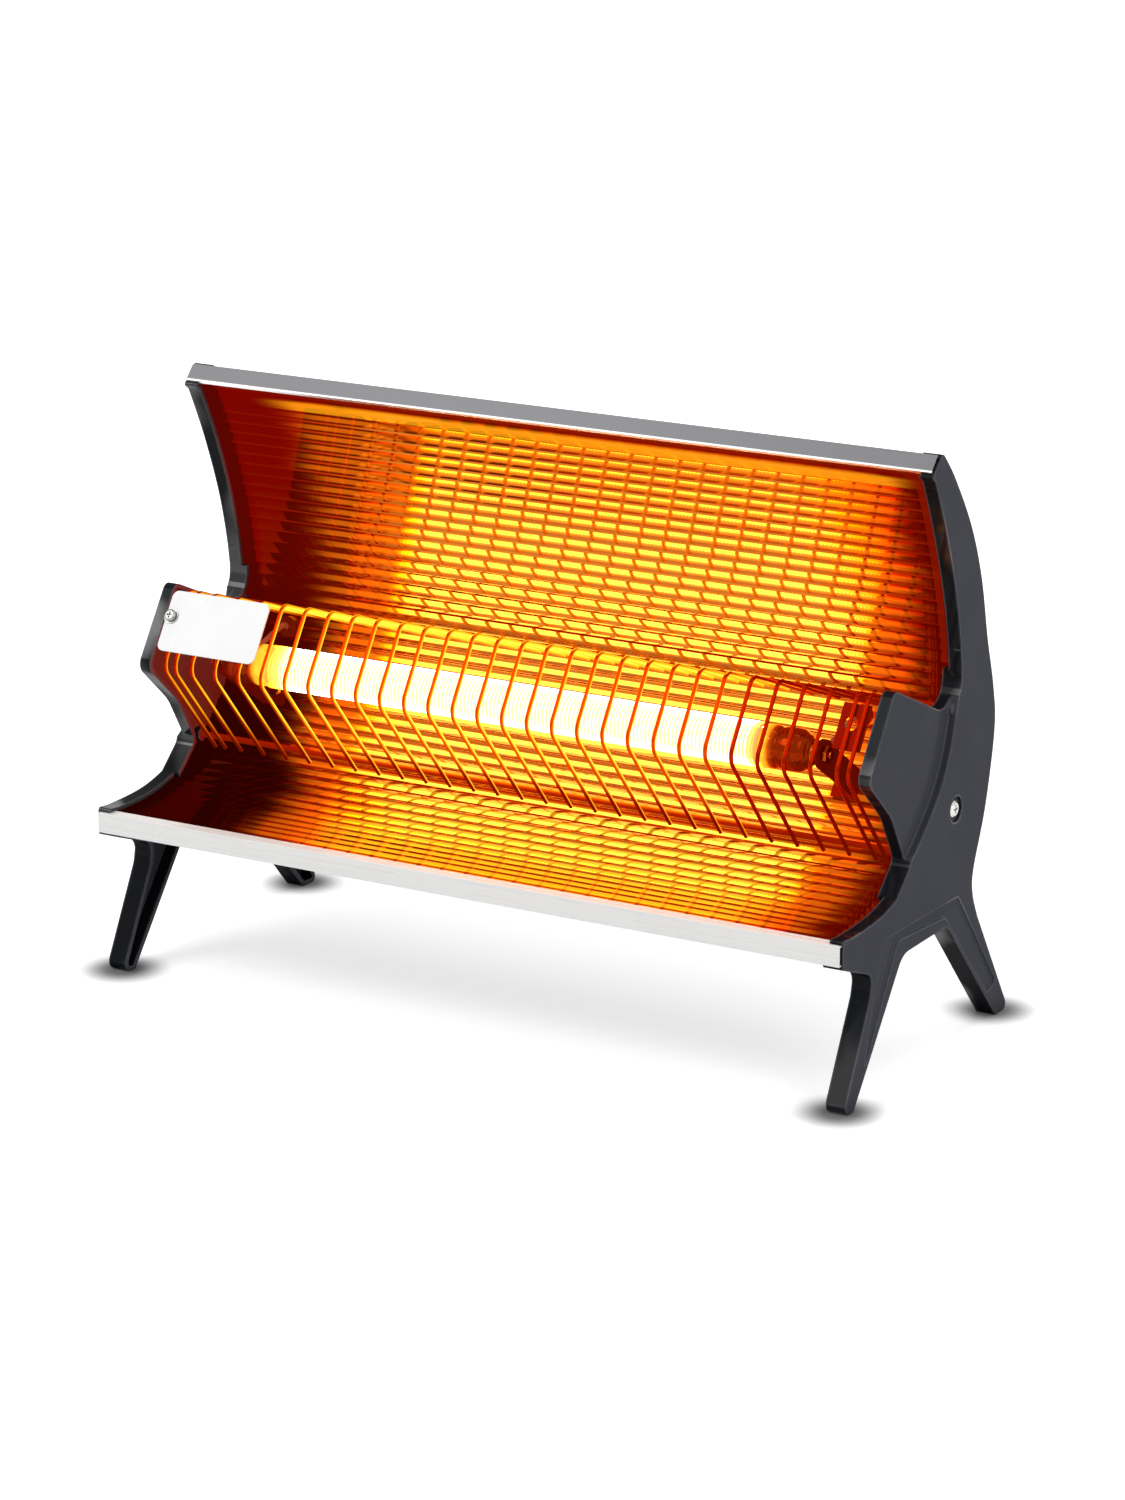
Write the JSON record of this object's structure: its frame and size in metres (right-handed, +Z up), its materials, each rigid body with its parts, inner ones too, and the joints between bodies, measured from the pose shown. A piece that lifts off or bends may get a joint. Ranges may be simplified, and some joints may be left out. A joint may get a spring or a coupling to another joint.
{
  "type": "electric bar heater",
  "caption": "Small floor-standing radiant bar heater with a fluted reflector, wire guard, glowing spiral element and cast end frames with splayed legs.",
  "frame": {"origin": "on the floor, under the middle of the heater", "axes": "+X along the bar towards the end on the right of the picture, -Y towards the front where the heat goes, +Z up"},
  "size_m": [0.402, 0.1758, 0.287],
  "materials": {
    "frame_enamel": "satin dark grey enamel on a casting",
    "cover_enamel": "satin dark grey enamel on sheet",
    "plain_steel": "plain zinc-plated sheet",
    "reflector_sheet": "bright fluted sheet, warmed by the element",
    "trim_metal": "white stoved enamel",
    "guard_wire": "bright plated wire, warmed by the element",
    "plate_white": "bare white plate",
    "screw_steel": "plated screws",
    "porcelain": "unglazed porcelain",
    "glowing_wire": "resistance wire at working heat",
    "plated_brass": "plain brass",
    "lead_sleeve": "glass-fibre sleeve over an insulated lead",
    "lead_green": "insulated lead",
    "block_plastic": "moulded block",
    "gland_rubber": "moulded rubber"
  },
  "bodies": {
    "root": {"left_end_frame": "frame_enamel", "right_end_frame": "frame_enamel", "left_end_plate": "plain_steel", "right_end_plate": "plain_steel", "reflector": "reflector_sheet", "back_cover": "cover_enamel", "top_trim": "trim_metal", "bottom_trim": "trim_metal", "guard_wires": "guard_wire", "guard_top_rail": "guard_wire", "guard_bottom_rail": "guard_wire", "guard_tabs": "guard_wire", "name_plate": "plate_white", "name_plate_screw": "screw_steel", "ceramic_core": "porcelain", "heating_coil": "glowing_wire", "left_bush": "porcelain", "right_bush": "porcelain", "tie_rod": "screw_steel", "tie_rod_nuts": "screw_steel", "terminal_tags": "plated_brass", "element_brackets": "plain_steel", "bracket_screws": "screw_steel", "bracket_nuts": "screw_steel", "lead_bushes": "porcelain", "left_element_lead": "lead_sleeve", "right_element_lead": "lead_sleeve", "terminal_block": "block_plastic", "block_screws": "screw_steel", "earth_lead": "lead_green", "earth_tag": "plated_brass", "earth_screw": "screw_steel", "cord_gland": "gland_rubber", "side_screws": "screw_steel", "back_cover_screws": "screw_steel"}
  },
  "joints": []
}
